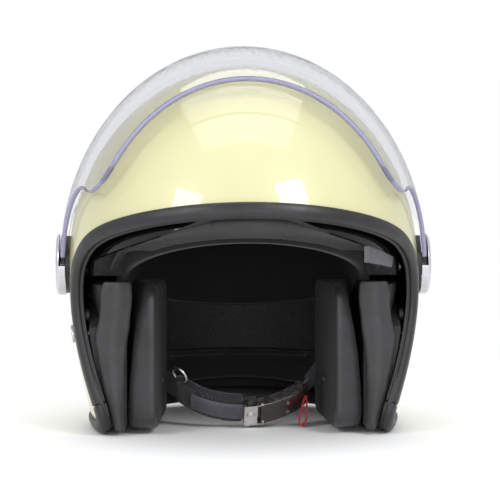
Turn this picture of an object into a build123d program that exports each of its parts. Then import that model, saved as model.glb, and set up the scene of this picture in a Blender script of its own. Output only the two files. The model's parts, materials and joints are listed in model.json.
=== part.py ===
"""Open face motorcycle helmet with a raised bubble visor, an inner sun visor, padding and a ratchet chin strap.

Row frame: millimetres, +Z up, the face looks along -Y, +X is the wearer's left. The origin is under the middle of
the helmet, on the plane that it rests on. Everything is first modelled about the visor's pivot axis (X) and moved
to the row frame when it is written.
"""
from build123d import *
from functools import lru_cache
from math import atan, cos, degrees, radians, sin, sqrt, tan
import os

# ---- driving dimensions ------------------------------------------------------------------------------------
HALF_WIDTH = 125.0        # shell, at the pivots
FRONT = 132.0             # shell, pivot axis to forehead
BACK = 146.0              # shell, pivot axis to the back of the head
CROWN = 141.0             # shell, pivot axis to the top
PIVOT_HEIGHT = 117.0      # pivot axis above the rest plane
PIVOT_SHIFT = -7.5        # pivot axis from the middle of the helmet, along Y
TAPER_SIDE, TAPER_FRONT, TAPER_BACK = 0.15, 0.05, 0.20   # how far the lower walls draw in at the rest plane
SHELL_T = 3.5

TRIM_PROUD = 2.6          # trim outside the shell
TRIM_INNER = 6.0          # trim's inner face, as an inset from the shell's outside
TRIM_WIDTH = 10.5         # of the band seen round the face
TRIM_LIP = 8.0            # how far the lip reaches over the shell's edge
TRIM_SPLIT_Z = -95.0      # face trim above, neck trim below

VISOR_RADIUS, VISOR_HALF_WIDTH, VISOR_T = 156.0, 131.2, 3.0
HUB_R, HUB_CLEAR = 8.0, 0.05
CAP_R, CAP_IN, CAP_OUT = 21.8, 126.9, 133.4
PLATE_R, PLATE_OUT = 20.5, 126.6

SUN_RADIUS, SUN_HALF_WIDTH, SUN_T = 124.0, 116.0, 2.2
SUN_PIN_R, SUN_PIN_CLEAR = 5.0, 0.05
FOAM_FRONT = 119.5        # foam stops here, behind the sun visor
FOAM_SIDE = 111.0

FOAM_INNER = 33.5         # insets from the shell's outside
LINING_INNER = 41.0

STRAP_Y, STRAP_Z = 0.0, -85.0       # line the hanging strap turns about
STRAP_W, STRAP_T = 25.0, 1.4
STRAP_TILT = -45.0                  # how far the loop stands forward at rest
ARC_X, ARC_Z, ARC_R = -3.0, -49.0, 60.0   # loop's arc before it is tilted
ARC_LEFT, ARC_RIGHT = -38.0, 64.0         # degrees from straight down
ANCHOR_Z = -50.0                    # strap rivets through the shell

ANCHOR_TOP, ANCHOR_LOW = -40.0, -70.0     # upper and lower edge of the anchor plates
WEB_GAP = 2.4             # between the anchor webbing and the shell
LEAD_Z = -84.0            # height of the webbing in the pads' slots

BASE_R = 62.3             # inner radius of the buckle's side walls
PIN_R, PIN_A = 67.0, 14.0           # lever's pin: radius and degrees on the loop
RIVET_A, LEVER_END, STUD_A = 6.5, 46.0, 30.0
TONGUE_TIP, TEETH, TOOTH_PITCH = -33.0, 20, 1.9
RIBBON_W, RIBBON_T = 6.0, 1.2
RIBBON_TOP_R, RIBBON_LOW_R, RIBBON_HANG = 2.0, 4.0, 15.0

CHEEK_TOP, CHEEK_BACK = -9.0, 46.0
SLOT = (-26.0, 20.0, -108.0, -66.0)       # strap slot through the cheek pads: y0, y1, z0, z1
INNER_PAD = [(82.5, -44), (79, -50), (67, -54), (64, -52), (54, CHEEK_BACK), (82.5, CHEEK_BACK)]   # level outline
PAD_STUDS = [(-30, -34), (34, -25), (28, -60)]       # press studs (y, z)
NECK_TOP = -72.0          # top of the neck roll

# side-view points (y, z) of the line where the paint ends, from the brow to the jaw corner
FACE_LINE = [(-200, 74), (-124.1, 48), (-75.2, 31), (-53, 17.8), (-38, 0), (-32, -22), (-33.5, -45), (-39, -70),
             (-46.5, -101.0)]
CORNER_R = 5.5            # rounded jaw corner
CORNER = (FACE_LINE[-1][0] + CORNER_R, FACE_LINE[-1][1])
BASE_END_Y = 60.0         # the flat foot of the rim ends here and the nape rises from it
NAPE_R = 800.0
RIM_END_Y = 170.0

BOLT_R, HOLE_R = 3.0, 3.05          # pivot screws and strap rivets, and their holes
FAR = 260.0               # larger than the helmet


# ---- helpers -----------------------------------------------------------------------------------------------
def half_axes(z, inset):
    """Half width, front and back reach of the dome's level section at height z."""
    w, f, b, c = HALF_WIDTH - inset, FRONT - inset, BACK - inset, CROWN - inset
    if z >= 0:
        k = sqrt(max(0.0, 1 - (z / c) ** 2))
        return w * k, f * k, b * k
    t = z / PIVOT_HEIGHT
    return w * (1 - TAPER_SIDE * t * t), f * (1 - TAPER_FRONT * t * t), b * (1 - TAPER_BACK * t * t)


def level_ring(z, inset):
    """Closed level outline of the dome, blunt at the back and rounder at the front."""
    w, f, b = half_axes(z, inset)
    level = Plane.XY.offset(z)
    rear = Edge.make_ellipse(w, b, plane=level, start_angle=0, end_angle=180)
    face = Edge.make_ellipse(w, f, plane=level, start_angle=180, end_angle=360)
    return Wire([rear, face])


@lru_cache(maxsize=None)
def dome(inset):
    """Closed solid inside the shell's outer surface moved inwards by inset, down to below the rest plane."""
    w, f, b = half_axes(0, inset)
    cap = Solid.make_sphere(1, angle1=0, angle2=90, angle3=180)
    rear = scale(cap, by=(w, b, CROWN - inset))
    face = scale(cap.rotate(Axis.Z, 180), by=(w, f, CROWN - inset))
    walls = Solid.make_loft([level_ring(z, inset) for z in (0, -10, -35, -65, -95, -PIVOT_HEIGHT - 13)])
    return rear + face + walls


@lru_cache(maxsize=None)
def spheroid(half_width, radius):
    """Solid of revolution about the pivot axis."""
    return scale(Solid.make_sphere(1, plane=Plane.YZ), by=(half_width, radius, radius))


def slab(edges, x0=-FAR, x1=FAR):
    """Side-view outline, as edges in the plane x = 0, given a thickness from x0 to x1."""
    return Solid.extrude(Face(Wire(edges)), Vector(x1 - x0, 0, 0)).moved(Location((x0, 0, 0)))


def line(*points):
    """Straight edges through side-view points (y, z)."""
    return [Edge.make_line((0, *p), (0, *q)) for p, q in zip(points, points[1:])]


def block(x0, x1, y0, y1, z0, z1):
    return Solid.make_box(x1 - x0, y1 - y0, z1 - z0).moved(Location((x0, y0, z0)))


def disc(x0, x1, r, y=0.0, z=0.0):
    """Cylinder along X."""
    return Solid.make_cylinder(r, x1 - x0, Plane((x0, y, z), z_dir=(1, 0, 0)))


def mirrored(shape):
    return shape.mirror(Plane.YZ)


def solids(shape):
    return list(shape.solids())


PARTS = {}


def keep(name, *shapes):
    """Names a sub-part made of one or more separate solids."""
    found = [s for shape in shapes for s in solids(shape)]
    PARTS[name] = Compound(children=found) if len(found) > 1 else found[0]


# ---- the rim: side-view line where the paint ends, and lines a set distance inside the opening ---------------
def rim_edges(offset):
    """Edges of the rim line moved by offset towards the opening, from the brow round the jaw to the nape."""
    face = Edge.make_spline([Vector(0, *p) for p in FACE_LINE], tangents=[Vector(0, 3, -1), Vector(0, 0, -1)])
    if offset:
        moved = []
        count = 24
        for i in range(count + 1):
            p, t = face.position_at(i / count), face.tangent_at(i / count)
            moved.append(p + Vector(0, t.Z, -t.Y) * offset)
        face = Edge.make_spline(moved, tangents=[face.tangent_at(0), face.tangent_at(1)])
    cy, cz = CORNER
    r = CORNER_R + offset
    low = cz - r
    mid = (cy - r * cos(radians(45)), cz - r * sin(radians(45)))
    corner = Edge.make_three_point_arc((0, cy - r, cz), (0, *mid), (0, cy, low))
    flat = Edge.make_line((0, cy, low), (0, BASE_END_Y, low))
    nape_r = NAPE_R + offset

    def nape(y):
        return (0, y, low + nape_r - sqrt(nape_r ** 2 - (y - BASE_END_Y) ** 2))

    rise = Edge.make_three_point_arc((0, BASE_END_Y, low), nape((BASE_END_Y + RIM_END_Y) / 2), nape(RIM_END_Y))
    return [face, corner, flat, rise]


def behind_rim(offset):
    """Everything on the helmet's side of the rim line."""
    edges = rim_edges(offset)
    start, end = edges[0].position_at(0), edges[-1].position_at(1)
    return slab(edges + line((end.Y, end.Z), (FAR, end.Z), (FAR, FAR), (-FAR, FAR), (-FAR, start.Z),
                             (start.Y, start.Z)))


# ---- shell and trim ------------------------------------------------------------------------------------------
def make_shell():
    shell = (dome(0) - dome(SHELL_T)) & behind_rim(TRIM_LIP)
    for s in (1, -1):
        shell -= disc(s * 100 - 40, s * 100 + 40, HOLE_R)
        shell -= disc(s * 100 - 40, s * 100 + 40, HOLE_R, STRAP_Y, ANCHOR_Z)
    keep("outer_shell", shell)


def make_trim():
    ring = (dome(-TRIM_PROUD) - dome(TRIM_INNER)) & (behind_rim(TRIM_WIDTH) - behind_rim(0))
    ring -= PARTS["outer_shell"]
    upper = block(-FAR, FAR, -FAR, FAR, TRIM_SPLIT_Z, FAR)
    keep("face_trim", ring & upper)
    keep("neck_trim", ring - upper)


# ---- visor and its pivots --------------------------------------------------------------------------------------
def make_visor():
    front = Edge.make_spline([Vector(0, *p) for p in
                              [(-20, 0), (-23, 25), (-29, 43), (-42, 54), (-57, 56), (-70, 53.5), (-79, 59),
                               (-83.5, 74)]], tangents=[Vector(0, 0, 1), Vector(0, 0, 1)])
    rear = Edge.make_spline([Vector(0, *p) for p in [(20, 0), (25, 28), (44, 56)]],
                            tangents=[Vector(0, 0, 1), Vector(0, 1, 1)])
    foot = Edge.make_three_point_arc((0, 20, 0), (0, 0, -20), (0, -20, 0))
    outline = [front] + line((-83.5, 74), (-83.5, 190), (178, 190), (44, 56)) + [rear, foot]
    sheet = spheroid(VISOR_HALF_WIDTH, VISOR_RADIUS) - spheroid(VISOR_HALF_WIDTH - VISOR_T, VISOR_RADIUS - VISOR_T)
    lens = sheet & slab(outline)
    lens -= disc(-FAR, FAR, HUB_R + HUB_CLEAR)
    keep("visor_lens", lens)

    cap = disc(CAP_IN, CAP_OUT, CAP_R)
    cap = cap.fillet(2.4, cap.edges().sort_by(Axis.X)[-1:])
    cap -= disc(CAP_IN - 1, VISOR_HALF_WIDTH + 0.2, 20.3)
    cap -= block(CAP_IN - 1, VISOR_HALF_WIDTH + 0.2, -29, 29, 0, 30)
    cap -= disc(CAP_IN - 1, CAP_OUT + 1, 3.4)
    cap -= disc(CAP_OUT - 0.9, CAP_OUT + 1, 7.4)

    plate = disc(118, PLATE_OUT, PLATE_R) + disc(PLATE_OUT, VISOR_HALF_WIDTH, HUB_R)
    plate = plate - dome(0) - disc(100, 140, HOLE_R)

    screw = disc(112, CAP_OUT - 0.8, BOLT_R) + disc(CAP_OUT - 0.8, CAP_OUT + 0.9, 7.0)
    screw = screw.fillet(0.6, screw.edges().sort_by(Axis.X)[-1:])
    screw -= block(CAP_OUT + 0.1, CAP_OUT + 2, -8, 8, -0.8, 0.8)

    washer = disc(VISOR_HALF_WIDTH + 0.25, VISOR_HALF_WIDTH + 1.1, 9.5)
    washer -= disc(120, 140, 3.3)
    for name, shape in (("visor_cap", cap - disc(CAP_IN, VISOR_HALF_WIDTH + 1.2, 9.7)), ("visor_base_plate", plate),
                        ("pivot_screw", screw), ("pivot_washer", washer)):
        keep(name + "_left", shape)
        keep(name + "_right", mirrored(shape))


# ---- sun visor ---------------------------------------------------------------------------------------------------
def make_sun_visor():
    lower = Edge.make_spline([Vector(0, *p) for p in [(-9, -9), (-62, 9), (-89, 18), (-103, 25), (-110, 30.5),
                                                      (-114.5, 38), (-116, 50)]])
    upper = line((-116, 50), (-140, 60), (-140, 175), (-112, 175), (-6, 11), (11, 6))
    tail = Edge.make_three_point_arc((0, 11, 6), (0, 8, -9), (0, -9, -9))
    sheet = spheroid(SUN_HALF_WIDTH, SUN_RADIUS) - spheroid(SUN_HALF_WIDTH - SUN_T, SUN_RADIUS - SUN_T)
    lens = sheet & slab([lower] + upper + [tail])
    bore = SUN_PIN_R + SUN_PIN_CLEAR
    lens -= disc(-FAR, FAR, 8.0)
    keep("sun_visor_lens", lens)

    hub = disc(SUN_HALF_WIDTH - SUN_T - 0.4, SUN_HALF_WIDTH + 1.6, 11.0) - disc(100, 130, bore)
    hub -= PARTS["sun_visor_lens"]
    bush = disc(SUN_HALF_WIDTH - SUN_T - 2.0, 130, SUN_PIN_R) + disc(118, 130, 10.0)
    bush = (bush & dome(SHELL_T)) - disc(100, 130, HOLE_R)
    clip = disc(SUN_HALF_WIDTH - SUN_T - 1.9, SUN_HALF_WIDTH - SUN_T - 0.7, 8.5) - disc(100, 130, SUN_PIN_R)
    for name, shape in (("sun_visor_hub", hub), ("sun_visor_bush", bush), ("sun_visor_clip", clip)):
        keep(name + "_left", shape)
        keep(name + "_right", mirrored(shape))

    # finger tab on the lens's lower edge, at the wearer's left
    tab_edge = line((-86, 20), (-58, 12), (-62, 1), (-88, 6), (-86, 20))
    tab = (spheroid(SUN_HALF_WIDTH, SUN_RADIUS) - spheroid(SUN_HALF_WIDTH - SUN_T, SUN_RADIUS - SUN_T))
    tab &= slab(tab_edge, 40, 115)
    keep("sun_visor_tab", tab - PARTS["sun_visor_lens"])


# ---- foam, lining and pads ---------------------------------------------------------------------------------------

def front_room():
    """Space in front of the foam where the sun visor swings, with a round pocket at each of its pivots."""
    low_z = -22 - FAR * tan(radians(24))
    sector = slab(line((0, -22), (-FAR, low_z), (-FAR, FAR), (-20, FAR), (0, 40), (0, -22)))
    ball = Solid.make_sphere(1, angle1=-90, angle2=90, angle3=180).rotate(Axis.Z, 180)
    room = sector - scale(ball, by=(FOAM_SIDE, FOAM_FRONT, FOAM_FRONT))
    for s in (1, -1):
        room += disc(s * 125 - 15, s * 125 + 15, 16)
    return room


def make_lining():
    above_cheeks = slab(line((-FAR, CHEEK_TOP + 3), (CHEEK_BACK + 3, CHEEK_TOP + 3), (CHEEK_BACK + 3, -103),
                             (FAR, -103), (FAR, FAR), (-FAR, FAR), (-FAR, CHEEK_TOP + 3)))
    room = front_room()
    foam = (dome(SHELL_T) - dome(FOAM_INNER)) & behind_rim(-2) & above_cheeks
    foam = foam - room - block(-FAR, FAR, 40, FAR, -FAR, NECK_TOP + 1)
    keep("foam_liner", foam)

    lining = (dome(FOAM_INNER) - dome(LINING_INNER)) & behind_rim(-2) & above_cheeks
    keep("crown_lining", lining - block(-FAR, FAR, -FAR, FAR, -FAR, NECK_TOP + 1))

    brow = (dome(9) - dome(LINING_INNER + 1)) & (behind_rim(17) - behind_rim(-2))
    brow = (brow & block(-FAR, FAR, -FAR, -26, CHEEK_TOP + 4, FAR)) - room
    keep("brow_pad", brow)

    roll = (dome(TRIM_INNER + 0.6) - dome(LINING_INNER - 3)) & block(-FAR, FAR, CHEEK_BACK + 3, FAR, -112, NECK_TOP)
    roll &= behind_rim(5)
    keep("neck_roll", roll)
    piping = (dome(LINING_INNER - 7) - dome(LINING_INNER)) & block(-FAR, FAR, CHEEK_BACK + 6, FAR, NECK_TOP + 0.1,
                                                                    NECK_TOP + 5)
    keep("neck_roll_piping", piping - PARTS["crown_lining"] - PARTS["foam_liner"])


def make_cheek_pads():
    slot = block(30, 125, *SLOT)
    base = block(83, 109, -44, CHEEK_BACK, -111, CHEEK_TOP - 3) & dome(TRIM_INNER + 0.6)
    room = front_room()
    base = base - slot - room
    outer = block(83, 114, -58, -44.3, -115, CHEEK_TOP) & dome(TRIM_INNER + 0.6) & behind_rim(8)
    outer = outer - room

    def level(z):
        return Wire([Edge.make_line(Vector(*p, z), Vector(*q, z)) for p, q in
                     zip(INNER_PAD, INNER_PAD[1:] + INNER_PAD[:1])])

    inner = Solid.extrude(Face(level(-113.0)), Vector(0, 0, CHEEK_TOP - 4 + 113.0))
    foot = slab(line((-60, -120), (-60, -113), (-40, -113), (CHEEK_BACK + 5, -100), (CHEEK_BACK + 5, -120),
                     (-60, -120)))
    inner = inner - slot - foot
    studs = [disc(109.2, 112, 5, y, z) & dome(SHELL_T + 0.5) for y, z in PAD_STUDS]
    for name, shape in (("cheek_base", base), ("cheek_bolster_outer", outer), ("cheek_bolster_inner", inner)):
        keep(name + "_left", shape)
        keep(name + "_right", mirrored(shape))
    keep("cheek_pad_studs", *studs, *[mirrored(s) for s in studs])


# ---- chin strap ----------------------------------------------------------------------------------------------------
# Layers are radii about the loop's centre, places along it are degrees from straight down, + to the wearer's left.
def polar(r, a):
    return Vector(ARC_X + r * sin(radians(a)), 0, ARC_Z - r * cos(radians(a)))


def arc_band(r0, r1, a0, a1, width, y=STRAP_Y):
    """Curved band between two radii and two angles, width along Y."""
    am = (a0 + a1) / 2
    edges = [Edge.make_three_point_arc(polar(r0, a0), polar(r0, am), polar(r0, a1)),
             Edge.make_line(polar(r0, a1), polar(r1, a1)),
             Edge.make_three_point_arc(polar(r1, a1), polar(r1, am), polar(r1, a0)),
             Edge.make_line(polar(r1, a0), polar(r0, a0))]
    band = Solid.extrude(Face(Wire(edges)), Vector(0, width, 0))
    return band.moved(Location((0, y - width / 2, 0)))


def straight_band(r0, r1, x_end, width):
    """Straight run that carries the loop on from its left end out to x_end."""
    p0, p1 = polar(r0, ARC_LEFT), polar(r1, ARC_LEFT)
    along = Vector(-1, 0, tan(radians(-ARC_LEFT)))
    corners = [p0, p1, p1 + along * (p1.X - x_end), p0 + along * (p0.X - x_end)]
    edges = [Edge.make_line(p, q) for p, q in zip(corners, corners[1:] + corners[:1])]
    return Solid.extrude(Face(Wire(edges)), Vector(0, width, 0)).moved(Location((0, STRAP_Y - width / 2, 0)))


def across(r, a, radius, width, y=STRAP_Y):
    """Pin along Y at a place on the loop."""
    p = polar(r, a)
    return Solid.make_cylinder(radius, width, Plane((p.X, y - width / 2, p.Z), z_dir=(0, 1, 0)))


def radial(r0, r1, a, radius, y=STRAP_Y):
    """Pin pointing away from the loop's centre."""
    p = polar(r0, a)
    away = (sin(radians(a)), 0, -cos(radians(a)))
    return Solid.make_cylinder(radius, r1 - r0, Plane((p.X, y, p.Z), z_dir=away))


def tilted(shape):
    return shape.rotate(Axis((0, STRAP_Y, STRAP_Z), (1, 0, 0)), STRAP_TILT)


def make_strap():
    web_in, web_out = ARC_R - STRAP_T / 2, ARC_R + STRAP_T / 2
    webbing = arc_band(web_in, web_out, ARC_LEFT, 11, STRAP_W) + straight_band(web_in, web_out, -55, STRAP_W)
    keep("strap_webbing", tilted(webbing))
    sleeve = arc_band(57.2, 62.3, ARC_LEFT, 1.5, 30) + straight_band(57.2, 62.3, -47, 30)
    keep("strap_sleeve", tilted(sleeve - webbing))

    frame = arc_band(61.0, BASE_R, 2.5, 44, 22.4) + arc_band(66.6, 68.0, 2.5, 10.5, 22.4)
    for s in (-1, 1):
        frame += arc_band(BASE_R, 68.0, 2.5, 44, 1.2, STRAP_Y + s * 10.6)
    frame -= across(PIN_R, PIN_A, 1.25, 40)
    frame -= radial(54, 70, RIVET_A, 1.5)
    keep("buckle_frame", tilted(frame))
    rivet = radial(68.0, 69.2, RIVET_A, 3.2) + radial(65.9, 68.0, RIVET_A, 1.45)
    keep("buckle_rivet", tilted(rivet))
    keep("lever_pin", tilted(across(PIN_R, PIN_A, 1.2, 24.4)))
    spring_y = STRAP_Y + 7.5
    spring = across(PIN_R, PIN_A, 1.8, 3.0, spring_y) - across(PIN_R, PIN_A, 1.2, 40)
    keep("lever_spring", tilted(spring))

    lever = arc_band(65.9, 68.7, 12.5, LEVER_END, 19.2) - across(PIN_R, PIN_A, 1.26, 40)
    lever -= across(PIN_R, PIN_A, 2.0, 4.0, spring_y)
    lever += arc_band(65.1, 66.0, 22, 24, 12)
    keep("buckle_lever", tilted(lever))
    eyelets = [radial(68.7, 69.3, STUD_A, 1.5, STRAP_Y + side * 5) for side in (-1, 1)]
    keep("lever_studs", *[tilted(e) for e in eyelets])

    tongue = arc_band(62.7, 64.2, TONGUE_TIP, 53, 15)
    for i in range(TEETH):
        a = TONGUE_TIP + 3 + i * TOOTH_PITCH
        tongue += arc_band(64.1, 64.8, a, a + TOOTH_PITCH * 0.5, 9)
    keep("ratchet_tongue", tilted(tongue))
    keep("tongue_webbing", tilted(arc_band(61.2, 62.6, 49.5, ARC_RIGHT, STRAP_W)))


def teardrop(top, low, r_top, r_low):
    """Face in the XZ plane round a small circle above and a larger one below."""
    left, right = Vector(-1, 0, 0), Vector(1, 0, 0)
    edges = [Edge.make_three_point_arc(top + left * r_top, top + Vector(0, 0, r_top), top + right * r_top),
             Edge.make_line(top + right * r_top, low + right * r_low),
             Edge.make_three_point_arc(low + right * r_low, low - Vector(0, 0, r_low), low + left * r_low),
             Edge.make_line(low + left * r_low, top + left * r_top)]
    return Face(Wire(edges))


def make_ribbon():
    """Pull ribbon: a narrow loop that hangs from the free end of the lever."""
    hook = tilted(radial(68.7, 68.8, LEVER_END - 2, 1.0)).center()
    top = Vector(hook.X, 0, hook.Z - RIBBON_TOP_R)
    low = top + Vector(-3.0, 0, -RIBBON_HANG)
    loops = [Solid.extrude(teardrop(top, low, RIBBON_TOP_R - t, RIBBON_LOW_R - t), Vector(0, RIBBON_W, 0))
             for t in (0, RIBBON_T)]
    ribbon = (loops[0] - loops[1]).moved(Location((0, hook.Y - RIBBON_W / 2 - 1.0, 0)))
    keep("pull_ribbon", ribbon - PARTS["buckle_lever"])


def wall_x(z, y, inset):
    """Half width of the dome at a height and a depth."""
    w, f, b = half_axes(z, inset)
    return w * sqrt(1 - (y / (b if y > 0 else f)) ** 2)


def shell_lean(z):
    """Angle from upright of the side wall at height z below the pivots, as a rotation about Y."""
    return atan(2 * HALF_WIDTH * TAPER_SIDE * -z / PIVOT_HEIGHT ** 2)


def leaning(z0, z1, x0, x1, t, y0, y1):
    """Flat plate of thickness t whose outer face runs from (x0, z0) to (x1, z1)."""
    corners = [Vector(x0, 0, z0), Vector(x1, 0, z1), Vector(x1 - t, 0, z1), Vector(x0 - t, 0, z0)]
    edges = [Edge.make_line(p, q) for p, q in zip(corners, corners[1:] + corners[:1])]
    return Solid.extrude(Face(Wire(edges)), Vector(0, y1 - y0, 0)).moved(Location((0, y0, 0)))


def make_anchors():
    y0, y1 = STRAP_Y - STRAP_W / 2, STRAP_Y + STRAP_W / 2
    edge_y = y1 + 2
    x_top, x_low = (wall_x(z, edge_y, SHELL_T) - 0.6 for z in (ANCHOR_TOP, ANCHOR_LOW))
    plate = leaning(ANCHOR_TOP, ANCHOR_LOW, x_top, x_low, 1.6, y0 - 2, edge_y)
    hole = disc(100, 130, HOLE_R, STRAP_Y, ANCHOR_Z)
    window = block(100, 125, y0 - 0.2, y1 + 0.2, ANCHOR_LOW + 3, ANCHOR_LOW + 7)
    plate = plate - hole - window
    x_web = wall_x(LEAD_Z, edge_y, SHELL_T) - WEB_GAP
    web = leaning(ANCHOR_LOW + 6.5, LEAD_Z, x_low - 1.2, x_web, STRAP_T, y0, y1) - plate
    web += block(57.5, x_web - 0.2, y0, y1, LEAD_Z, LEAD_Z + STRAP_T)
    x_rivet = wall_x(ANCHOR_Z, STRAP_Y, 0)
    head = disc(0, 1.5, 6.5)
    head = head.fillet(0.7, head.edges().sort_by(Axis.X)[-1:]).rotate(Axis.Y, degrees(shell_lean(ANCHOR_Z)))
    rivet = disc(109, x_rivet + 0.4, BOLT_R, STRAP_Y, ANCHOR_Z) + disc(109, 111, 6.0, STRAP_Y, ANCHOR_Z)
    rivet += head.moved(Location((x_rivet + 0.1, STRAP_Y, ANCHOR_Z)))
    behind_plate = leaning(ANCHOR_TOP, ANCHOR_LOW, x_top, x_low, 30, y0 - 2, edge_y)
    spacer = (disc(105, 125, 6.0, STRAP_Y, ANCHOR_Z) & dome(SHELL_T)) - hole - behind_plate
    for name, shape in (("anchor_webbing", web), ("anchor_plate", plate), ("anchor_rivet", rivet),
                        ("anchor_spacer", spacer)):
        keep(name + "_left", shape)
        keep(name + "_right", mirrored(shape))


def make_lock_ring():
    """Steel ring on a short fabric tab at the front edge of the sleeve, for hanging the helmet on a hook."""
    mid_x, mid_z = -46.0, ARC_Z - 47.5
    edge_y = STRAP_Y - 15.0
    ring = Solid.make_torus(6.0, 1.0, Plane((mid_x, edge_y - 7.6, mid_z), z_dir=(0.62, 0, 0.78)))
    tab = block(mid_x - 2.5, mid_x + 2.5, edge_y - 4.2, edge_y - 0.02, mid_z - 2.4, mid_z + 2.4)
    keep("lock_ring", tilted(ring))
    keep("lock_ring_tab", tilted(tab - ring))


def main():
    make_shell()
    make_trim()
    make_visor()
    make_sun_visor()
    make_lining()
    make_cheek_pads()
    make_strap()
    make_ribbon()
    make_anchors()
    make_lock_ring()
    os.makedirs("parts", exist_ok=True)
    to_row = Location((0, PIVOT_SHIFT, PIVOT_HEIGHT))
    for name, shape in PARTS.items():
        export_step(shape.moved(to_row), f"parts/{name}.step")
    whole = Compound(children=[s.moved(to_row) for s in PARTS.values()])
    print(len(PARTS), "parts", whole.bounding_box())


main()
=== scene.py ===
"""Looks of the open face motorcycle helmet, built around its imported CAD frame.

Metres, +Z up, the face looks along -Y, +X is the wearer's left. Helper sizes are in millimetres from
the visor's pivot axis, as pt() reads them.
"""
import json
from math import cos, pi, radians, sin, sqrt

import bpy
from mathutils import Matrix, Vector


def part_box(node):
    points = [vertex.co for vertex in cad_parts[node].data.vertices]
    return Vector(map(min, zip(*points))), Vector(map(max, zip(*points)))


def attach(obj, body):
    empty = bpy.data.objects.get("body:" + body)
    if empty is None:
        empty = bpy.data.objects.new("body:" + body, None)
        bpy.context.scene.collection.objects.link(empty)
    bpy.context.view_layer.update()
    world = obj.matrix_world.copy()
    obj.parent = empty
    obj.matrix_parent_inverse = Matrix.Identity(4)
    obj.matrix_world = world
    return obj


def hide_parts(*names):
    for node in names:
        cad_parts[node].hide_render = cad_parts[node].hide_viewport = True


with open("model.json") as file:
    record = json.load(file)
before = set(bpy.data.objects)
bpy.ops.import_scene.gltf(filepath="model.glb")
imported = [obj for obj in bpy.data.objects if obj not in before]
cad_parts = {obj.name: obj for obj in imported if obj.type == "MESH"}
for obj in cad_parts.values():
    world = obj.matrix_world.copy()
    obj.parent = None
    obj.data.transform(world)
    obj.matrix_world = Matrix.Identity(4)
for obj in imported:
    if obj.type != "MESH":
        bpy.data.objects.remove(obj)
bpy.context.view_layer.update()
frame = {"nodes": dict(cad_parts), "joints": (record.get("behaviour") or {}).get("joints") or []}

NODES = frame["nodes"]
JOINTS = {j["name"]: j for j in frame["joints"]}
PIVOT = Vector(JOINTS["visor_hinge"]["pos_m"])
MM = 0.001

# ---- sizes shared with the frame (mm) --------------------------------------------------------------------
HALF_WIDTH, FRONT, BACK, CROWN = 125.0, 132.0, 146.0, 141.0
PIVOT_HEIGHT = PIVOT.z / MM
TAPER_SIDE, TAPER_FRONT, TAPER_BACK = 0.15, 0.05, 0.20
TRIM_INNER = 6.0
TRIM_SPLIT = -95.0
VISOR_R, VISOR_W, VISOR_T = 156.0, 131.2, 3.0
LINING = 41.0
STRAP_HINGE = (0.0, -85.0)
STRAP_TILT = radians(-45.0)
ARC_X, ARC_Z, ARC_LEFT = -3.0, -49.0, radians(-38.0)

RIM = [(-150, 57), (-124.1, 48), (-75.2, 31), (-53, 17.8), (-38, 0), (-32, -22), (-33.5, -45), (-39, -70),
       (-46.5, -101.0)]
JAW, JAW_R = (-41.0, -101.0), 5.5
FOOT_END, NAPE_R = 60.0, 800.0


# ---- geometry helpers ------------------------------------------------------------------------------------
def pt(x, y, z):
    """Row-frame point of millimetres counted from the middle of the pivot axis."""
    return Vector((x, y, z)) * MM + PIVOT


def half_axes(z, inset=0.0):
    """Half width, front and back reach of the helmet's level outline at height z."""
    w, f, b, c = HALF_WIDTH - inset, FRONT - inset, BACK - inset, CROWN - inset
    if z >= 0:
        k = sqrt(max(0.0, 1 - (z / c) ** 2))
        return w * k, f * k, b * k
    t = z / PIVOT_HEIGHT
    return w * (1 - TAPER_SIDE * t * t), f * (1 - TAPER_FRONT * t * t), b * (1 - TAPER_BACK * t * t)


def wall_x(y, z, inset=0.0):
    """Half width of the helmet at depth y and height z."""
    w, f, b = half_axes(z, inset)
    return w * sqrt(max(0.0, 1 - (y / (b if y > 0 else f)) ** 2))


def outward(p):
    """Unit normal of the helmet's outer surface at a point on it."""
    def level(q):
        w, f, b = half_axes(q.z)
        w, f, b = max(w, 1e-3), max(f, 1e-3), max(b, 1e-3)
        if q.z >= 0:
            return (q.x / HALF_WIDTH) ** 2 + (q.y / (BACK if q.y > 0 else FRONT)) ** 2 + (q.z / CROWN) ** 2
        return (q.x / w) ** 2 + (q.y / (b if q.y > 0 else f)) ** 2
    h = 0.5
    steps = (Vector((h, 0, 0)), Vector((0, h, 0)), Vector((0, 0, h)))
    return Vector([level(p + s) - level(p - s) for s in steps]).normalized()


def smooth_path(points, per_span=12):
    """Catmull-Rom curve through points of any length."""
    pts = [Vector(p) for p in points]
    pts = [2 * pts[0] - pts[1]] + pts + [2 * pts[-1] - pts[-2]]
    out = []
    for p0, p1, p2, p3 in zip(pts, pts[1:], pts[2:], pts[3:]):
        for i in range(per_span):
            t = i / per_span
            out.append(0.5 * (2 * p1 + (p2 - p0) * t + (2 * p0 - 5 * p1 + 4 * p2 - p3) * t * t
                              + (3 * p1 - 3 * p2 + p3 - p0) * t ** 3))
    return out + [pts[-2]]


def lengths(path):
    total = [0.0]
    for a, b in zip(path, path[1:]):
        total.append(total[-1] + (b - a).length)
    return total


def at_length(path, total, s):
    """Point at length s along a polyline."""
    s = min(max(s, 0.0), total[-1])
    lo, hi = 0, len(total) - 1
    while hi - lo > 1:
        mid = (lo + hi) // 2
        if total[mid] <= s:
            lo = mid
        else:
            hi = mid
    span = total[hi] - total[lo]
    return path[lo].lerp(path[hi], (s - total[lo]) / span if span else 0.0)


def resample(path, count):
    total = lengths(path)
    return [at_length(path, total, total[-1] * i / (count - 1)) for i in range(count)]


def wave(seed, *v):
    """Smooth repeatable noise between about -1 and 1."""
    x = sum((i + 1.7) * c for i, c in enumerate(v))
    return (sin(x * 1.3 + seed) + sin(x * 2.1 + seed * 2.7) * 0.6 + sin(x * 3.7 + seed * 5.1) * 0.35) / 1.95


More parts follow.
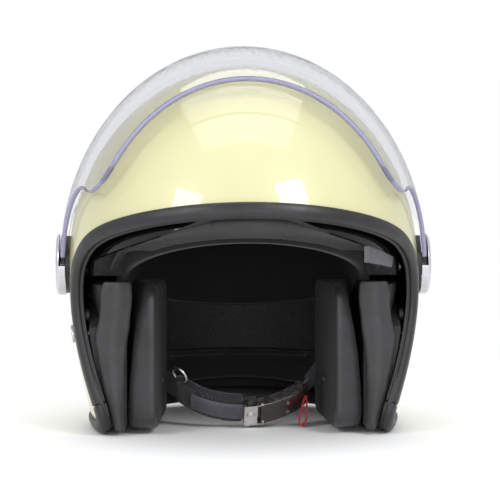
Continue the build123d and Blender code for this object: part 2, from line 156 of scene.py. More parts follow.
def tube_mesh(name, rings, closed=False, caps=True):
    """Skin over closed rings of equal point count, given in row-frame metres."""
    n = len(rings[0])
    verts = [p for ring in rings for p in ring]
    faces = []
    count = len(rings)
    for r in range(count if closed else count - 1):
        a, b = r * n, ((r + 1) % count) * n
        for i in range(n):
            j = (i + 1) % n
            faces.append((a + i, a + j, b + j, b + i))
    if caps and not closed:
        for base, flip in ((0, True), ((count - 1) * n, False)):
            centre = len(verts)
            verts.append(sum((verts[base + i] for i in range(n)), Vector()) / n)
            for i in range(n):
                j = (i + 1) % n
                faces.append((base + j, base + i, centre) if flip else (base + i, base + j, centre))
    return new_object(name, verts, faces)


def new_object(name, verts, faces):
    mesh = bpy.data.meshes.new(name)
    mesh.from_pydata([tuple(v) for v in verts], [], faces)
    mesh.update()
    obj = bpy.data.objects.new(name, mesh)
    bpy.context.scene.collection.objects.link(obj)
    for poly in mesh.polygons:
        poly.use_smooth = True
    bpy.context.view_layer.objects.active = obj
    for other in bpy.context.selected_objects:
        other.select_set(False)
    obj.select_set(True)
    bpy.ops.object.mode_set(mode="EDIT")
    bpy.ops.mesh.select_all(action="SELECT")
    bpy.ops.mesh.normals_make_consistent(inside=False)
    bpy.ops.object.mode_set(mode="OBJECT")
    return obj


def add_modifier(obj, kind, **settings):
    mod = obj.modifiers.new(kind.lower(), kind)
    for key, value in settings.items():
        setattr(mod, key, value)
    return mod


def dress(obj, material, body, *replaced, slot=None, subdivide=0):
    """Gives a piece its material, the body that it rides on and the CAD nodes that it stands for."""
    obj.data.materials.clear()
    obj.data.materials.append(material)
    if subdivide:
        add_modifier(obj, "SUBSURF", levels=subdivide, render_levels=subdivide)
    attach(obj, body)
    if replaced:
        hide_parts(*replaced)
    return obj


def mirrored_rings(rings):
    flip = Matrix.Diagonal((-1, 1, 1))
    return [[flip @ p for p in ring] for ring in rings]


# ---- materials -------------------------------------------------------------------------------------------
class Look:
    """A principled material with small helpers for its node tree."""

    def __init__(self, name, **sockets):
        self.material = bpy.data.materials.new(name)
        self.material.use_nodes = True
        self.tree = self.material.node_tree
        self.shader = self.tree.nodes["Principled BSDF"]
        for key, value in sockets.items():
            self.shader.inputs[key.replace("_", " ")].default_value = value
        self.coords = self.add("ShaderNodeTexCoord").outputs["Object"]

    def add(self, kind, links=None, **values):
        node = self.tree.nodes.new(kind)
        for key, value in values.items():
            if key in node.inputs:
                node.inputs[key].default_value = value
            else:
                setattr(node, key, value)
        for key, source in (links or {}).items():
            self.tree.links.new(source, node.inputs[key])
        return node

    def noise(self, scale, detail=4.0, roughness=0.55, stretch=(1, 1, 1)):
        mapping = self.add("ShaderNodeMapping", {"Vector": self.coords})
        mapping.inputs["Scale"].default_value = stretch
        return self.add("ShaderNodeTexNoise", {"Vector": mapping.outputs[0]}, Scale=scale, Detail=detail,
                        Roughness=roughness).outputs[0]

    def cells(self, scale, feature="DISTANCE_TO_EDGE"):
        node = self.add("ShaderNodeTexVoronoi", {"Vector": self.coords}, Scale=scale)
        node.feature = feature
        return node.outputs["Distance"]

    def threads(self, scale, direction):
        node = self.add("ShaderNodeTexWave", {"Vector": self.coords}, Scale=scale, Distortion=0.6)
        node.bands_direction = direction
        node.inputs["Detail Scale"].default_value = 2.0
        return node.outputs["Fac"]

    def math(self, operation, a, b):
        node = self.add("ShaderNodeMath", operation=operation)
        for socket, value in zip(node.inputs, (a, b)):
            if isinstance(value, (int, float)):
                socket.default_value = value
            else:
                self.tree.links.new(value, socket)
        return node.outputs[0]

    def ramp(self, source, low, high, start=0.3, end=0.7):
        node = self.add("ShaderNodeValToRGB", {"Fac": source})
        node.color_ramp.elements[0].position = start
        node.color_ramp.elements[1].position = end
        node.color_ramp.elements[0].color = (*low, 1) if isinstance(low, tuple) else (low, low, low, 1)
        node.color_ramp.elements[1].color = (*high, 1) if isinstance(high, tuple) else (high, high, high, 1)
        return node.outputs["Color"]

    def link(self, source, socket):
        self.tree.links.new(source, self.shader.inputs[socket])
        return self

    def bump(self, *heights):
        """Each height is (source, strength, distance in metres)."""
        normal = None
        for source, strength, distance in heights:
            node = self.add("ShaderNodeBump", {"Height": source}, Strength=strength, Distance=distance)
            if normal:
                self.tree.links.new(normal, node.inputs["Normal"])
            normal = node.outputs[0]
        self.tree.links.new(normal, self.shader.inputs["Normal"])
        return self


def make_paint():
    look = Look("shell_paint", Coat_Weight=1.0, Coat_Roughness=0.03, Coat_IOR=1.5)
    fine = look.noise(900, 2)
    broad = look.noise(14, 3)
    look.link(look.ramp(broad, (0.60, 0.585, 0.325), (0.635, 0.615, 0.35)), "Base Color")
    look.link(look.ramp(fine, 0.34, 0.44), "Roughness")
    return look.bump((look.noise(260, 2), 0.012, 0.0004)).material


def make_rubber():
    look = Look("trim_rubber")
    look.link(look.ramp(look.noise(60, 5), (0.012, 0.0115, 0.013), (0.021, 0.02, 0.023)), "Base Color")
    look.link(look.ramp(look.noise(180, 4), 0.36, 0.5), "Roughness")
    return look.bump((look.noise(1500, 3), 0.10, 0.0003), (look.noise(90, 3), 0.05, 0.0006)).material


def make_leather(name="leatherette", base=0.02, lift=0.033):
    look = Look(name, Sheen_Weight=0.06, Sheen_Roughness=0.5)
    creases = look.noise(38, 6, 0.6)
    look.link(look.ramp(creases, (base, base * 0.95, base), (lift, lift * 0.93, lift * 1.03)), "Base Color")
    look.link(look.ramp(look.noise(120, 4), 0.36, 0.52), "Roughness")
    grain = look.cells(1100)
    return look.bump((look.noise(45, 4, 0.65, (1, 1, 0.45)), 0.16, 0.0012), (grain, 0.28, 0.00035),
                     (look.noise(2600, 2), 0.12, 0.0002)).material


def make_cloth(name, low, high, pitch=420.0, strength=0.5, sheen=0.35):
    """Woven cloth: two crossing sets of threads, with uneven colour."""
    look = Look(name, Sheen_Weight=sheen, Sheen_Roughness=0.4, Roughness=0.9)
    weave = look.math("MULTIPLY", look.threads(pitch, "DIAGONAL"), look.threads(pitch, "Z"))
    tone = look.math("ADD", look.math("MULTIPLY", weave, 0.5), look.math("MULTIPLY", look.noise(30, 5), 0.5))
    look.link(look.ramp(tone, low, high, 0.2, 0.75), "Base Color")
    return look.bump((weave, strength, 0.0005), (look.noise(70, 4), 0.15, 0.001)).material


def make_mesh_cloth():
    """Spacer mesh: a net of small round holes."""
    look = Look("spacer_mesh", Sheen_Weight=0.05, Roughness=0.85)
    holes = look.cells(700, "F1")
    look.link(look.ramp(holes, (0.013, 0.011, 0.013), (0.004, 0.0035, 0.004), 0.2, 0.6), "Base Color")
    return look.bump((holes, 0.5, 0.0006), (look.noise(50, 4), 0.2, 0.001)).material


def make_clear():
    look = Look("visor_clear", Base_Color=(0.985, 0.985, 1.0, 1), Transmission_Weight=1.0, IOR=1.5)
    look.link(look.ramp(look.noise(12, 2), 0.0, 0.012), "Roughness")
    return look.material


def make_painted_edge_reflection():
    look = Look("visor_edge_painted_reflection", IOR=1.5, Specular_IOR_Level=0.6)
    # Violet base colour on an opaque tube: painted internal reflection seen along the clear sheet's edge.
    look.link(look.ramp(look.noise(9, 2), (0.27, 0.26, 0.42), (0.30, 0.29, 0.46)), "Base Color")
    look.link(look.ramp(look.noise(200, 3), 0.18, 0.3), "Roughness")
    return look.material


def make_smoke():
    look = Look("visor_smoke", Transmission_Weight=0.85, IOR=1.5)
    look.link(look.ramp(look.noise(20, 3), (0.012, 0.012, 0.014), (0.02, 0.02, 0.022)), "Base Color")
    look.link(look.ramp(look.noise(80, 4), 0.04, 0.09), "Roughness")
    return look.material


def make_metal(name, low, high, rough, metallic=1.0, grain=(1, 60, 60), depth=0.08):
    look = Look(name, Metallic=metallic)
    brushed = look.noise(90, 4, 0.6, grain)
    look.link(look.ramp(brushed, low, high), "Base Color")
    look.link(look.ramp(look.noise(220, 4), rough - 0.05, rough + 0.07), "Roughness")
    return look.bump((brushed, depth, 0.0002)).material


def make_plastic(name, low, high, rough, grain=1400.0):
    look = Look(name)
    look.link(look.ramp(look.noise(55, 5), low, high), "Base Color")
    look.link(look.ramp(look.noise(160, 4), rough - 0.06, rough + 0.08), "Roughness")
    return look.bump((look.noise(grain, 3), 0.18, 0.0002)).material


def make_foam():
    look = Look("bead_foam", Roughness=0.75)
    beads = look.cells(330)
    look.link(look.ramp(beads, (0.008, 0.008, 0.008), (0.024, 0.024, 0.025), 0.0, 0.12), "Base Color")
    return look.bump((beads, 0.6, 0.0008)).material


MATERIALS = {
    "paint": make_paint(),
    "rubber": make_rubber(),
    "leather": make_leather(),
    "mesh": make_mesh_cloth(),
    "lining": make_cloth("lining_cloth", (0.0045, 0.0028, 0.0042), (0.012, 0.008, 0.0115), 520, 0.35, 0.15),
    "roll": make_cloth("neck_cloth", (0.007, 0.006, 0.0075), (0.017, 0.0155, 0.018), 480, 0.4, 0.2),
    "webbing": make_cloth("webbing", (0.006, 0.006, 0.007), (0.022, 0.021, 0.024), 300, 0.8, 0.25),
    "sleeve": make_cloth("sleeve_cloth", (0.010, 0.0085, 0.011), (0.03, 0.026, 0.032), 420, 0.5, 0.3),
    "red": make_cloth("red_webbing", (0.42, 0.004, 0.012), (0.72, 0.012, 0.028), 330, 0.8, 0.2),
    "thread": make_cloth("thread", (0.02, 0.019, 0.021), (0.05, 0.047, 0.052), 900, 0.6, 0.2),
    "clear": make_clear(),
    "edge": make_painted_edge_reflection(),
    "smoke": make_smoke(),
    "silver": make_metal("cap_silver", (0.56, 0.55, 0.60), (0.70, 0.69, 0.74), 0.30, 0.85, (1, 40, 40), 0.05),
    "steel": make_metal("steel", (0.52, 0.50, 0.48), (0.72, 0.70, 0.68), 0.26),
    "black": make_plastic("black_plastic", (0.010, 0.010, 0.011), (0.02, 0.0195, 0.021), 0.42),
    "lever": make_plastic("lever_plastic", (0.014, 0.011, 0.009), (0.027, 0.021, 0.017), 0.30),
    "grey": make_plastic("grey_plastic", (0.075, 0.07, 0.085), (0.11, 0.105, 0.125), 0.45),
    "foam": make_foam(),
}


# ---- camera, floor and light -----------------------------------------------------------------------------
CAM_DISTANCE, CAM_LENS = 1.4, 140.0
CAM_RISE, CAM_YAW = radians(3.0), radians(2.5)
AIM = PIVOT + Vector((0.005, 0.0, 0.010))


def make_camera():
    data = bpy.data.cameras.new("camera")
    data.lens = CAM_LENS
    data.sensor_width = 36.0
    camera = bpy.data.objects.new("camera", data)
    bpy.context.scene.collection.objects.link(camera)
    away = Vector((-sin(CAM_YAW) * cos(CAM_RISE), -cos(CAM_YAW) * cos(CAM_RISE), sin(CAM_RISE)))
    camera.location = AIM + away * CAM_DISTANCE
    camera.rotation_euler = (-away).to_track_quat("-Z", "Y").to_euler()
    bpy.context.scene.camera = camera


def area_light(name, location, size, power, target):
    data = bpy.data.lights.new(name, "AREA")
    data.shape = "RECTANGLE"
    data.size, data.size_y = size
    data.energy = power
    light = bpy.data.objects.new(name, data)
    bpy.context.scene.collection.objects.link(light)
    light.location = location
    light.rotation_euler = (Vector(target) - Vector(location)).to_track_quat("-Z", "Y").to_euler()


def make_studio():
    half = 6.0
    floor = new_object("floor", [(-half, -half, 0), (half, -half, 0), (half, half, 0), (-half, half, 0)],
                       [(0, 1, 2, 3)])
    look = Look("floor_paper", Roughness=0.9)
    look.link(look.ramp(look.noise(2, 3), 0.90, 0.93), "Base Color")
    reach = look.add("ShaderNodeVectorMath", {"Vector": look.coords}, operation="LENGTH").outputs["Value"]
    fade = look.ramp(reach, 0.0, 1.0, 0.22, 0.55)
    paper = look.add("ShaderNodeEmission", Strength=1.0)
    blend = look.add("ShaderNodeMixShader", {"Fac": fade})
    look.tree.links.new(look.shader.outputs[0], blend.inputs[1])
    look.tree.links.new(paper.outputs[0], blend.inputs[2])
    look.tree.links.new(blend.outputs[0], look.tree.nodes["Material Output"].inputs["Surface"])
    floor.data.materials.append(look.material)
    world = bpy.data.worlds.new("studio")
    world.use_nodes = True
    tree = world.node_tree
    soft = tree.nodes["Background"]
    soft.inputs["Color"].default_value = (0.97, 0.98, 1.0, 1)
    soft.inputs["Strength"].default_value = 0.72
    white = tree.nodes.new("ShaderNodeBackground")
    white.inputs["Color"].default_value = (1, 1, 1, 1)
    path = tree.nodes.new("ShaderNodeLightPath")
    mix = tree.nodes.new("ShaderNodeMixShader")
    tree.links.new(path.outputs["Is Camera Ray"], mix.inputs[0])
    tree.links.new(soft.outputs[0], mix.inputs[1])
    tree.links.new(white.outputs[0], mix.inputs[2])
    tree.links.new(mix.outputs[0], tree.nodes["World Output"].inputs["Surface"])
    bpy.context.scene.world = world
    bpy.context.scene.view_settings.view_transform = "Standard"
    area_light("key", (0.75, -1.05, 1.0), (0.5, 0.5), 8, (0, 0, 0.15))
    area_light("fill", (-0.95, -0.95, 0.85), (0.5, 0.5), 6, (0, 0, 0.15))
    area_light("low", (0.0, -1.6, 0.25), (1.6, 0.4), 5, (0, 0, 0.1))
    area_light("top", (0.0, 0.1, 1.4), (1.2, 1.2), 8, (0, 0, 0.2))


# ---- shell, rim and visor --------------------------------------------------------------------------------
def rim_profile():
    """Side-view line (y, z) where the paint ends, from the brow round the jaw to the nape."""
    face = [p for p in smooth_path([Vector((y, z)) for y, z in RIM], 14)]
    jaw = [Vector((JAW[0] + JAW_R * cos(a), JAW[1] + JAW_R * sin(a)))
           for a in (pi + pi / 2 * i / 10 for i in range(1, 11))]
    low = JAW[1] - JAW_R
    foot = [Vector((y, low)) for y in range(-35, int(FOOT_END), 8)]
    nape = [Vector((y, low + NAPE_R - sqrt(NAPE_R ** 2 - (y - FOOT_END) ** 2))) for y in range(60, 170, 6)]
    return face + jaw + foot + nape


def silhouette_gap(p):
    """Negative inside the helmet's side-view outline."""
    _, f, b = half_axes(p.y)
    return p.x / b - 1 if p.x > 0 else -p.x / f - 1


def rim_loop(count=480):
    """Closed list of points on the shell along the rim, from the brow's middle down the wearer's left."""
    line = rim_profile()
    total = lengths(line)
    steps = 3000
    inside = [i for i in range(steps + 1)
              if silhouette_gap(at_length(line, total, total[-1] * i / steps)) < 0]
    s0, s1 = total[-1] * inside[0] / steps, total[-1] * inside[-1] / steps
    half = []
    for i in range(601):
        q = at_length(line, total, s0 + (s1 - s0) * (1 - cos(pi * i / 600)) / 2)
        x = wall_x(q.x, q.y) if 0 < i < 600 else 0.0
        half.append(Vector((x, q.x, q.y)))
    half = resample(half, count // 2 + 1)
    other = [Vector((-p.x, p.y, p.z)) for p in half[-2:0:-1]]
    return half + other


def rim_frames(loop):
    """For each rim point: the point, the shell's outward normal and the direction into the opening."""
    n = len(loop)
    frames = []
    for i, p in enumerate(loop):
        along = (loop[(i + 1) % n] - loop[i - 1]).normalized()
        normal = outward(p)
        frames.append((p, normal, along.cross(normal).normalized()))
    brow = frames[0]
    if brow[2].z > 0:
        frames = [(p, m, -b) for p, m, b in frames]
    return frames


# the trim's section: (out of the shell, into the opening)
TRIM_SECTION = [(1.0, 0.0), (2.0, 0.5), (2.6, 2.2), (2.6, 5.0), (2.2, 7.6), (1.0, 9.6), (-0.8, 10.5),
                (-2.4, 10.2), (-3.0, 9.2), (-3.6, 9.3), (-4.2, 10.0), (-5.2, 10.2), (-5.9, 9.4),
                (-6.0, 6.0), (-6.0, 0.6), (-3.2, 0.2)]


def make_trim(frames):
    rings = []
    for p, normal, into in frames:
        rings.append([pt(*(p + normal * a + into * b)) for a, b in TRIM_SECTION])
    split = [i for i, (p, _, _) in enumerate(frames) if p.z < TRIM_SPLIT]
    first, last = split[0], split[-1]
    neck = rings[first:last + 1]
    face = rings[last:] + rings[:first + 1]
    dress(tube_mesh("face_beading", face), MATERIALS["rubber"], "helmet", "face_trim", subdivide=1)
    dress(tube_mesh("neck_beading", neck), MATERIALS["rubber"], "helmet", "neck_trim", subdivide=1)


def visor_x(y, z, inset=0.0):
    """Half width of the visor's surface at a side-view place."""
    r2 = (y * y + z * z) / (VISOR_R - inset) ** 2
    return (VISOR_W - inset) * sqrt(max(0.0, 1 - r2))


VISOR_FRONT = [(-20.5, 6), (-23, 25), (-29, 43), (-42, 54), (-57, 56), (-70, 53.5), (-79, 59), (-83.5, 74)]


def make_visor_edge():
    """Polished front edge of the visor, coloured violet as a painted internal reflection of the clear sheet.
    """
    profile = smooth_path([Vector(p) for p in VISOR_FRONT], 8)
    top_z = sqrt((VISOR_R - VISOR_T / 2) ** 2 - 83.5 ** 2)
    rise = [Vector((-83.5, 74 + (top_z - 74) * sin(pi / 2 * i / 60))) for i in range(1, 61)]
    profile = profile + rise
    half = [Vector((visor_x(q.x, q.y, VISOR_T / 2), q.x, q.y)) for q in profile[:-1]]
    half.append(Vector((0, profile[-1].x, profile[-1].y)))
    path = resample(half + [Vector((-p.x, p.y, p.z)) for p in half[-2::-1]], 260)
    rings = []
    for i, p in enumerate(path):
        along = (path[min(i + 1, len(path) - 1)] - path[max(i - 1, 0)]).normalized()
        normal = Vector((p.x / VISOR_W ** 2, p.y / VISOR_R ** 2, p.z / VISOR_R ** 2)).normalized()
        side = along.cross(normal).normalized()
        ring = []
        for k in range(8):
            a = 2 * pi * k / 8
            ring.append(pt(*(p + normal * (cos(a) * 1.62) + side * (sin(a) * 0.75))))
        rings.append(ring)
    dress(tube_mesh("visor_front_edge", rings), MATERIALS["edge"], "visor", slot="visor_clear")


def assign(material, *names):
    for name in names:
        mesh = NODES[name].data
        mesh.materials.clear()
        mesh.materials.append(MATERIALS[material])


def line_shell():
    """Paint outside only: the inner face and whatever lies wholly under the trim are bare black."""
    shell = NODES["outer_shell"]
    shell.data.materials.append(MATERIALS["black"])
    turn = shell.matrix_world.to_3x3()
    rim = sorted((z, y) for y, z in RIM)
    foot = JAW[1] - JAW_R
    places = [(shell.matrix_world @ v.co - PIVOT) / MM for v in shell.data.vertices]
    covered = [q.z < foot or (q.z < 0 and q.y < between(q.z, rim)) for q in places]
    for poly in shell.data.polygons:
        centre = (shell.matrix_world @ poly.center - PIVOT) / MM
        inward = (turn @ poly.normal).dot(outward(centre)) < 0.3
        if inward or all(covered[i] for i in poly.vertices):
            poly.material_index = 1


def soften(width, *names):
    for name in names:
        add_modifier(NODES[name], "BEVEL", width=width * MM, segments=2, limit_method="ANGLE",
                     angle_limit=radians(40))
        add_modifier(NODES[name], "WEIGHTED_NORMAL", keep_sharp=True)


def both(*names):
    return [f"{name}_{side}" for name in names for side in ("left", "right")]


def dress_frame_nodes():
    assign("paint", "outer_shell")
    line_shell()
    assign("clear", "visor_lens")
    assign("smoke", "sun_visor_lens")
    assign("silver", *both("visor_cap"))
    assign("black", *both("visor_base_plate", "sun_visor_bush", "sun_visor_hub"), "cheek_pad_studs")
    assign("grey", "sun_visor_tab", "ratchet_tongue")
    assign("lever", "buckle_lever")
    assign("foam", "foam_liner", *both("cheek_base"))
    assign("steel", *both("pivot_screw", "pivot_washer", "sun_visor_clip", "anchor_plate", "anchor_rivet",
                          "anchor_spacer"), "buckle_frame", "buckle_rivet", "lever_pin", "lever_spring",
           "lever_studs", "lock_ring")
    soften(0.35, "buckle_frame", "buckle_lever", "sun_visor_tab", *both("visor_base_plate"))


# ---- padding ---------------------------------------------------------------------------------------------
def rounded_loop(corners, radius, per_corner=5):
    """Closed outline through 2-D corners with each corner rounded."""
    n = len(corners)
    out = []
    for i in range(n):
        a, b, c = Vector(corners[i - 1]), Vector(corners[i]), Vector(corners[(i + 1) % n])
        r = min(radius, (a - b).length * 0.45, (c - b).length * 0.45)
        start, end = b + (a - b).normalized() * r, b + (c - b).normalized() * r
        for k in range(per_corner):
            t = k / (per_corner - 1)
            out.append((1 - t) ** 2 * start + 2 * t * (1 - t) * b + t * t * end)
    return out


def resampled_loop(points, count):
    closed = [Vector(p) for p in points] + [Vector(points[0])]
    return resample(closed, count + 1)[:-1]


def column(levels, outline, count=56, crown=9.0):
    """Rings of an upright pad. outline(z) gives its level corners and their radius; ends are crowned."""
    rings = []
    z_low, z_high = levels[0], levels[-1]
    for z in levels:
        corners, radius = outline(z)
        loop = resampled_loop(rounded_loop(corners, radius), count)
        middle = sum(loop, Vector((0, 0))) / count
        end = min(z - z_low, z_high - z)
        shrink = 1.0
        if end < crown:
            k = 1 - end / crown
            shrink = 1 - (1 - sqrt(max(0.0, 1 - k * k))) * 0.24
        ring = []
        for q in loop:
            q = middle + (q - middle) * shrink
            puff = 0.35 * wave(z * 0.11, q.x * 0.07, q.y * 0.09, z * 0.05)
            q = q + (q - middle).normalized() * puff
            ring.append(Vector((q.x, q.y, z)))
        rings.append(ring)
    return rings


def between(z, table):
    """Linear reading of a short table of (z, value) with rising z."""
    if z <= table[0][0]:
        return table[0][1]
    for (z0, v0), (z1, v1) in zip(table, table[1:]):
        if z <= z1:
            return v0 + (v1 - v0) * (z - z0) / (z1 - z0)
    return table[-1][1]


def levels(low, high, count):
    """Heights from low to high, closer together near both ends."""
    return [low + (high - low) * (1 - cos(pi * i / (count - 1))) / 2 for i in range(count)]


INNER_OUT_X = [(-113, 81.5), (-96, 82.0), (-82, 81.0), (-61, 79.0), (-40, 75.5), (-25, 71.5), (-13, 67.0)]
OUTER_IN_X = [(-113, 83.5), (-82, 84.0), (-61, 83.6), (-40, 80.6), (-25, 79.0), (-9, 78.2)]


def inner_outline(z):
    """Wedge-shaped inner bolster: slanted leatherette face in front, mesh face towards the cheek."""
    x_out = between(z, INNER_OUT_X)
    lean = between(z, [(-113, 4.0), (-95, 0.0), (-13, 0.0)])
    ridge = between(z, [(-113, -51.0), (-100, -53.5), (-40, -53.5), (-13, -49.0)])
    return [(x_out, -45.5), (64.5, ridge), (62.6 - lean * 0.4, ridge + 2.5), (54.6, 44), (81.5, 44)], 3.2


def outer_outline(z):
    x_in = between(z, OUTER_IN_X)
    wall = min(wall_x(-50, z, TRIM_INNER + 1.2), 106.0)
    x_out = min(wall, between(z, [(-113, 110), (-60, 110), (-48, 106), (-36, 102), (-9, 101)]))
    front = between(z, [(-113, -53.0), (-90, -54.0), (-55, -51.0), (-9, -49.5)])
    return [(x_in, -45.0), (x_in + 0.4, front + 2), ((x_in + x_out) / 2, front - 2.2),
            (x_out - 0.6, front + 2.5), (x_out, -45.0)], 4.5


def seam_line(points, radius, name, body, material="thread", slot="leatherette"):
    """Fine corded seam along points in millimetres."""
    path = resample(smooth_path(points, 10), 90)
    rings = []
    for i, p in enumerate(path):
        along = (path[min(i + 1, 89)] - path[max(i - 1, 0)]).normalized()
        a = along.orthogonal().normalized()
        b = along.cross(a)
        rings.append([pt(*(p + a * (cos(t) * radius) + b * (sin(t) * radius)))
                      for t in (2 * pi * k / 8 for k in range(8))])
    return dress(tube_mesh(name, rings), MATERIALS[material], body, slot=slot)


def to_row(rings):
    return [[pt(*p) for p in ring] for ring in rings]


MESH_FROM_Y, MESH_WITHIN_X = -50.0, 72.0


def cheek_materials(obj, rings):
    """Leatherette in front, spacer mesh towards the cheek, with a straight border between them."""
    obj.data.materials.append(MATERIALS["mesh"])
    count = len(rings[0])
    middle = rings[len(rings) // 2]
    meshed = []
    for i in range(count):
        a, b = middle[i], middle[(i + 1) % count]
        meshed.append(min(a.y, b.y) > MESH_FROM_Y and abs(a.x + b.x) / 2 < MESH_WITHIN_X)
    for poly in list(obj.data.polygons)[:count * (len(rings) - 1)]:
        if meshed[poly.index % count]:
            poly.material_index = 1


def make_cheek_pads():
    inner = column(levels(-113, -13, 34), inner_outline, 72)
    outer = column(levels(-113, -9.5, 34), outer_outline, 56)
    for side in ("left", "right"):
        flip = side == "right"
        for name, rings in (("inner", inner), ("outer", outer)):
            shaped = mirrored_rings(rings) if flip else rings
            pad = tube_mesh(f"cheek_{name}_pad_{side}", to_row(shaped))
            dress(pad, MATERIALS["leather"], "helmet", f"cheek_bolster_{name}_{side}", subdivide=1)
            if name == "inner":
                cheek_materials(pad, shaped)


def make_brow_pad(frames):
    """Long cushion inside the brow, with four sewn seams."""
    picked = [(i, f) for i, f in enumerate(frames) if f[0].z > 4 and f[0].y < -40]
    count = len(frames)
    picked.sort(key=lambda it: it[0] if it[0] < count // 2 else it[0] - count)
    rings = []
    seams = (-68.0, -30.0, 30.0, 68.0)
    for _, (p, normal, into) in picked:
        near = min(abs(p.x - s) for s in seams)
        pinch = 1 - 0.10 * max(0.0, 1 - near / 1.6)
        edge = min(1.0, max(0.25, (116 - abs(p.x)) / 26))
        ring = []
        for k in range(28):
            a = 2 * pi * k / 28
            u = (abs(cos(a)) ** 0.75) * (1 if cos(a) > 0 else -1)
            v = (abs(sin(a)) ** 0.75) * (1 if sin(a) > 0 else -1)
            depth = -26.5 + 12.5 * u * pinch * edge
            reach = 7.5 + 8.5 * v * pinch * edge
            ring.append(pt(*(p + normal * depth + into * reach)))
        rings.append(ring)
    pad = tube_mesh("brow_cushion", rings)
    dress(pad, MATERIALS["leather"], "helmet", "brow_pad", subdivide=1)


def make_crown_lining():
    """Cloth bowl over the crown of the head, with sewn panels."""
    inset, thick = LINING, 7.2
    across, down = 96, 40
    rings = []
    for side_inset, order in ((inset, 1), (inset - thick, -1)):
        part = []
        for j in range(down):
            ring = []
            for i in range(across):
                a = 2 * pi * i / across
                lowest = 97.0 + 14.0 * cos(a) if cos(a) > 0 else 97.0 + 18.0 * cos(a)
                polar = radians(3 + (lowest - 3) * j / (down - 1))
                z = (CROWN - side_inset) * cos(polar)
                w, f, b = half_axes(min(z, CROWN - side_inset - 0.01), side_inset)
                reach = sin(polar)
                if z >= 0:
                    w, f, b = ((HALF_WIDTH - side_inset) * reach, (FRONT - side_inset) * reach,
                               (BACK - side_inset) * reach)
                x, y = w * sin(a), (b if cos(a) > 0 else f) * cos(a)
                seam = min(abs(abs(x) - 34), 40)
                sink = 1.4 * max(0.0, 1 - seam / 2.5) if order == 1 else 0.0
                ring.append(Vector((x, y, z)) * (1 + sink / 90))
            part.append(ring)
        rings += part[::order]
    bowl = tube_mesh("crown_cloth", to_row(rings), caps=True)
    dress(bowl, MATERIALS["lining"], "helmet", "crown_lining")


def make_neck_roll():
    """Padded roll round the back of the neck, with a corded top seam."""
    steps = 60
    rings = []
    spans = [-62 + 124 * i / (steps - 1) for i in range(steps)]
    for a_deg in spans:
        a = radians(a_deg)
        end = min(1.0, max(0.2, (62 - abs(a_deg)) / 6))
        ring = []
        for k in range(26):
            t = 2 * pi * k / 26
            u = (abs(cos(t)) ** 0.7) * (1 if cos(t) > 0 else -1)
            v = (abs(sin(t)) ** 0.7) * (1 if sin(t) > 0 else -1)
            low = -104 + 10 * cos(a) ** 2
            z = (low - 74) / 2 + v * (-74 - low) / 2 * end
            w, _, b = half_axes(z, 24.0 - 15.0 * u * end)
            ring.append(Vector((w * sin(a), b * cos(a), z)))
        rings.append(ring)
    roll = tube_mesh("neck_cushion", to_row(rings))
    dress(roll, MATERIALS["roll"], "helmet", "neck_roll", subdivide=1)
    w, _, b = half_axes(-72, 37.0)
    cord = []
    for a_deg in range(-60, 61, 6):
        a = radians(a_deg)
        cord.append(Vector((w * sin(a), b * cos(a), -72 - 2.0 * cos(a) ** 2)))
    welt = seam_line(cord, 2.0, "neck_welt", "helmet", "roll", "lining_cloth")
    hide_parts("neck_roll_piping")


# ---- chin strap ------------------------------------------------------------------------------------------
def strap_point(x, y, z):
    """Point of the strap laid out upright, turned forward about its hinge line."""
    dy, dz = y - STRAP_HINGE[0], z - STRAP_HINGE[1]
    return pt(x, STRAP_HINGE[0] + dy * cos(STRAP_TILT) - dz * sin(STRAP_TILT),
              STRAP_HINGE[1] + dy * sin(STRAP_TILT) + dz * cos(STRAP_TILT))


def strap_place(r, a, y):
    """Place at radius r and angle a (radians from straight down) of the arc; straight past its left end."""
    if a >= ARC_LEFT:
        return (ARC_X + r * sin(a), y, ARC_Z - r * cos(a))
    extra = (ARC_LEFT - a) * 60.0
    return (ARC_X + r * sin(ARC_LEFT) - extra * cos(ARC_LEFT), y,
            ARC_Z - r * cos(ARC_LEFT) + extra * sin(-ARC_LEFT))


def strap_strip(name, r0, r1, a0, a1, width, material, body, replaced, steps=60, round_ends=False,
                wobble=0.0):
    """Soft strip along the arc: a flat section with rounded edges."""
    rings = []
    for i in range(steps):
        f = i / (steps - 1)
        a = a0 + (a1 - a0) * f
        end = 1.0
        if round_ends:
            near = min(f, 1 - f) * (steps - 1)
            end = min(1.0, 0.75 + near * 0.09)
        ring = []
        for k in range(24):
            t = 2 * pi * k / 24
            u = (abs(cos(t)) ** 0.35) * (1 if cos(t) > 0 else -1)
            v = (abs(sin(t)) ** 0.6) * (1 if sin(t) > 0 else -1)
            mid, half = (r0 + r1) / 2, (r1 - r0) / 2 * end
            bulge = wobble * wave(1.0, f * 9, u)
            across = width / 2 * u * (0.97 + 0.03 * end)
            ring.append(strap_point(*strap_place(mid + half * v + bulge, a, across)))
        rings.append(ring)
    strip = tube_mesh(name, rings)
    dress(strip, MATERIALS[material], body, *replaced, subdivide=1)
    return strip


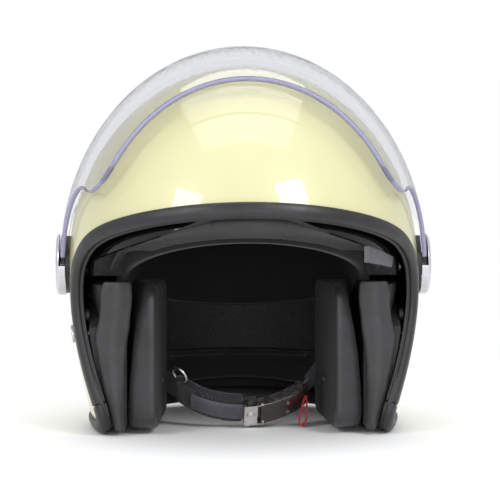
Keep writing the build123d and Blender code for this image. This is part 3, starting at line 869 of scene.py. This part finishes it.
def make_strap():
    reach = ARC_LEFT - (55.0 - 40.0) / 60.0 / cos(ARC_LEFT)
    strap_strip("strap_web", 59.2, 60.8, reach, radians(11), 25, "webbing", "chin_strap", ["strap_webbing"])
    sleeve_end = ARC_LEFT - (47.0 - 40.0) / 60.0 / cos(ARC_LEFT)
    sleeve = strap_strip("strap_padding", 57.2, 62.3, sleeve_end, radians(1.5), 30, "sleeve", "chin_strap",
                         ["strap_sleeve"], round_ends=True, wobble=0.15)
    strap_strip("tongue_web", 61.2, 62.6, radians(49.5), radians(64), 25, "webbing", "ratchet_tongue",
                ["tongue_webbing"])
    for side, sign in (("left", 1), ("right", -1)):
        rings = []
        for i in range(40):
            f = i / 39
            x = 57.5 + (108.5 - 57.5) * min(1.0, f / 0.6)
            z = -83.3 if f <= 0.6 else -83.3 + (f - 0.6) / 0.4 * 18.0
            x += 0.0 if f <= 0.6 else (f - 0.6) / 0.4 * 3.0
            lean = 0.0 if f < 0.55 else min(1.0, (f - 0.55) / 0.1)
            ring = []
            for k in range(16):
                t = 2 * pi * k / 16
                u = (abs(cos(t)) ** 0.35) * (1 if cos(t) > 0 else -1)
                v = sin(t) * 0.75
                ring.append(pt(sign * (x - v * lean), 12.5 * u, z + v * (1 - lean)))
            rings.append(ring)
        dress(tube_mesh(f"anchor_web_{side}", rings), MATERIALS["webbing"], "helmet",
              f"anchor_webbing_{side}")
    low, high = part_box("lock_ring_tab")
    middle = (low + high) / 2 if isinstance(low, Vector) else (Vector(low) + Vector(high)) / 2
    size = Vector(high) - Vector(low)
    rings = []
    for i in range(9):
        f = i / 8
        ring = []
        for k in range(16):
            t = 2 * pi * k / 16
            ring.append(middle + Vector((size.x * (f - 0.5), cos(t) * size.y * 0.42, sin(t) * size.z * 0.42)))
        rings.append(ring)
    dress(tube_mesh("ring_loop", rings), MATERIALS["webbing"], "chin_strap", "lock_ring_tab")


def make_ribbon():
    """Red pull ribbon: a flat loop that hangs from the lever's free end."""
    low, high = (Vector(v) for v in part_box("pull_ribbon"))
    top, bottom = high.z, low.z
    x_top, x_low = high.x - 0.0022, low.x + 0.0042
    y_mid, width = (low.y + high.y) / 2, high.y - low.y
    path = []
    for i in range(48):
        a = 2 * pi * i / 48
        down = (1 - cos(a)) / 2
        half = 0.0012 + 0.0026 * down ** 1.4
        centre = Vector((x_top + (x_low - x_top) * down, y_mid, top - (top - bottom) * down))
        path.append(centre + Vector((half * sin(a), 0, 0)))
    rings = []
    for i, p in enumerate(path):
        along = (path[(i + 1) % 48] - path[i - 1]).normalized()
        out = along.cross(Vector((0, 1, 0))).normalized()
        ring = []
        for k in range(16):
            t = 2 * pi * k / 16
            u = (abs(cos(t)) ** 0.35) * (1 if cos(t) > 0 else -1)
            ring.append(p + Vector((0, width / 2 * u, 0)) + out * (0.00055 * sin(t)))
        rings.append(ring)
    ribbon = tube_mesh("red_pull_ribbon", rings, closed=True)
    dress(ribbon, MATERIALS["red"], "buckle_lever", "pull_ribbon")


# ---- build -----------------------------------------------------------------------------------------------
make_camera()
make_studio()
dress_frame_nodes()
RIM_FRAMES = rim_frames(rim_loop())
make_trim(RIM_FRAMES)
make_visor_edge()
make_cheek_pads()
make_brow_pad(RIM_FRAMES)
make_crown_lining()
make_neck_roll()
make_strap()
make_ribbon()
